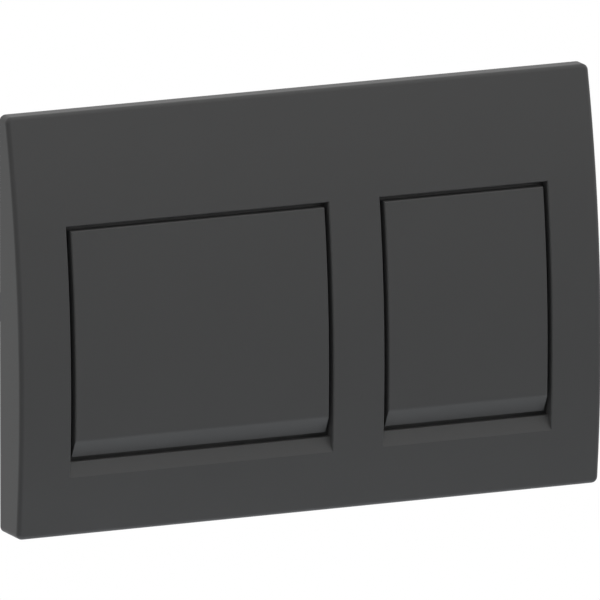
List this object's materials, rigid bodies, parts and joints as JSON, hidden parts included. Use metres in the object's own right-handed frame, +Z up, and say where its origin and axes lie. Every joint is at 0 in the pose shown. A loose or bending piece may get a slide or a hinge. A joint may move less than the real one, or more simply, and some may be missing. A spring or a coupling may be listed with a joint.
{
  "type": "flush button plate",
  "caption": "Flush button plate for a concealed cistern: crowned rectangular cover with a wide and a narrow hinged button, each pushing a sprung rod through a wall frame.",
  "frame": {"origin": "middle of the plate on the wall plane, where the cover's back rim meets the wall", "axes": "+X to the right as seen from the room, +Y into the wall, +Z up"},
  "size_m": [0.2458, 0.0794, 0.1636],
  "materials": {
    "cover_plastic": "fine matte anthracite moulding",
    "frame_plastic": "plain grey moulding",
    "bolt_plastic": "dark filled nylon",
    "rod_plastic": "natural acetal",
    "steel": "drawn stainless wire",
    "rubber": "soft black rubber"
  },
  "bodies": {
    "plate": {"cover_plate": "cover_plastic", "mounting_frame": "frame_plastic", "distance_bolts": "bolt_plastic", "clamp_nuts": "bolt_plastic", "full_hinge_pin": "steel", "half_hinge_pin": "steel", "full_rod_guide": "bolt_plastic", "half_rod_guide": "bolt_plastic", "full_return_spring": "steel", "half_return_spring": "steel"},
    "full_button": {"full_flush_button": "cover_plastic", "full_button_buffers": "rubber"},
    "half_button": {"half_flush_button": "cover_plastic", "half_button_buffers": "rubber"},
    "full_rod": {"full_push_rod": "rod_plastic", "full_rod_head": "rod_plastic", "full_rod_lock_nut": "bolt_plastic"},
    "half_rod": {"half_push_rod": "rod_plastic", "half_rod_head": "rod_plastic", "half_rod_lock_nut": "bolt_plastic"}
  },
  "joints": [
    {"name": "full_button_hinge", "type": "hinge", "parent": "plate", "child": "full_button", "pos_m": [-0.04635, -0.00668, 0.0465], "axis": [1, 0, 0], "range_deg": [0, 5]},
    {"name": "half_button_hinge", "type": "hinge", "parent": "plate", "child": "half_button", "pos_m": [0.066, -0.00668, 0.0465], "axis": [1, 0, 0], "range_deg": [0, 5]},
    {"name": "full_rod_slide", "type": "slide", "parent": "plate", "child": "full_rod", "axis": [0, 1, 0], "range_m": [0, 0.00615], "stiffness_N_per_m": 250, "springref_m": -0.008, "deforming": ["full_return_spring"]},
    {"name": "half_rod_slide", "type": "slide", "parent": "plate", "child": "half_rod", "axis": [0, 1, 0], "range_m": [0, 0.00615], "stiffness_N_per_m": 250, "springref_m": -0.008, "deforming": ["half_return_spring"]}
  ],
  "couplings": [
    {"joint": "full_rod_slide", "follows": "full_button_hinge", "m_per_rad": 0.07},
    {"joint": "half_rod_slide", "follows": "half_button_hinge", "m_per_rad": 0.07}
  ]
}
